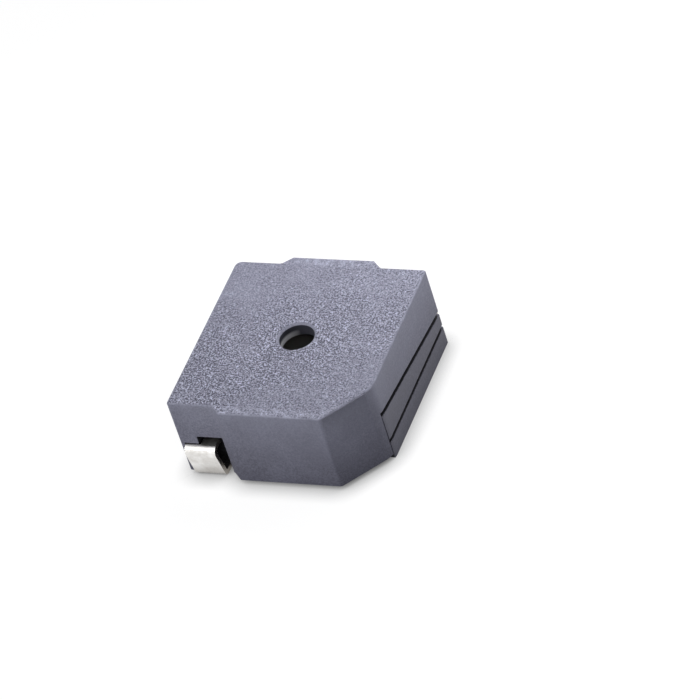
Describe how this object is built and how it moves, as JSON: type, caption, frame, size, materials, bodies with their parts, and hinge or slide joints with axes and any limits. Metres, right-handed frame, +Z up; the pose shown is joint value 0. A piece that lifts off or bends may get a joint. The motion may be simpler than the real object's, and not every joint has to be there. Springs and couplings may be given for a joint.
{
  "type": "piezo buzzer",
  "caption": "Square surface-mount piezo buzzer: moulded case with a top sound hole, a keyed corner, a base with a side tongue, and tinned terminals folded under the body.",
  "frame": {"origin": "on the board, under the middle of the square body", "axes": "+Z up from the board to the top with the sound hole, +Y from the front to the back, +X to the side with the tongue; the keyed corner is at +X -Y"},
  "size_m": [0.0086, 0.0094, 0.004],
  "materials": {
    "case_plastic": "fine moulded grain, matte",
    "base_plastic": "fine moulded grain, matte",
    "tinned_strip": "matte tin plating",
    "plate_metal": "rolled, satin",
    "ceramic": "fired, matte",
    "silver": "fired silver, satin",
    "silicone": "cured, slightly glossy",
    "conductive_bond": "cured, grainy"
  },
  "bodies": {
    "root": {"case": "case_plastic", "base": "base_plastic", "vibration_plate": "plate_metal", "ceramic_disc": "ceramic", "silver_electrode": "silver", "edge_seal": "silicone", "signal_terminal": "tinned_strip", "ground_terminal": "tinned_strip", "anchor_terminal": "tinned_strip", "signal_bond": "conductive_bond", "ground_bond": "conductive_bond"}
  },
  "joints": []
}
